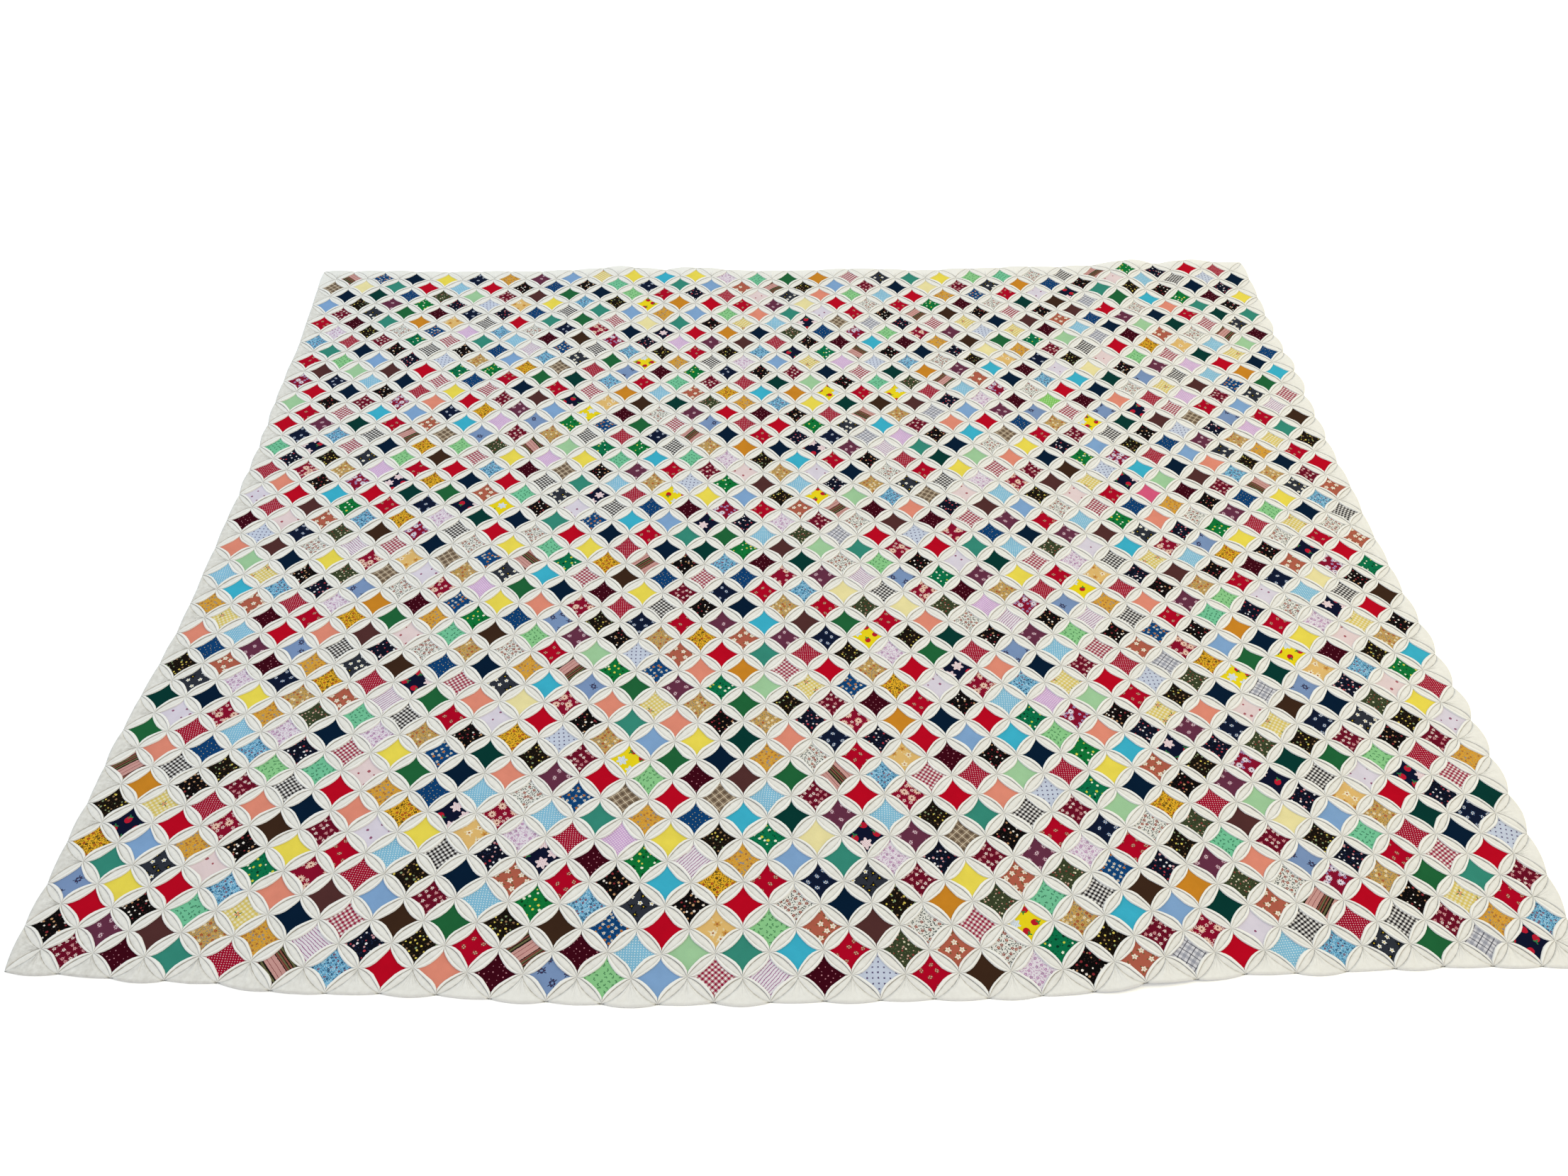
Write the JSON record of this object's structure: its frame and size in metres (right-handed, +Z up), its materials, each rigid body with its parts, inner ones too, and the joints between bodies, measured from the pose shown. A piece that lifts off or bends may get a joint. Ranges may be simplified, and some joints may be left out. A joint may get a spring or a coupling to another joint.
{
  "type": "patchwork quilt",
  "caption": "Bed quilt of folded muslin squares whose rolled petals frame small windows of mixed prints, laid flat with soft swells.",
  "frame": {"origin": "middle of the quilt's outline, on the surface that it lies on", "axes": "+X along the longer edge, +Y from the near edge to the far one, +Z up out of the patchwork face"},
  "size_m": [2.349, 1.9722, 0.0187],
  "materials": {
    "quilt": "matte"
  },
  "bodies": {
    "root": {"quilt": "quilt"}
  },
  "joints": []
}
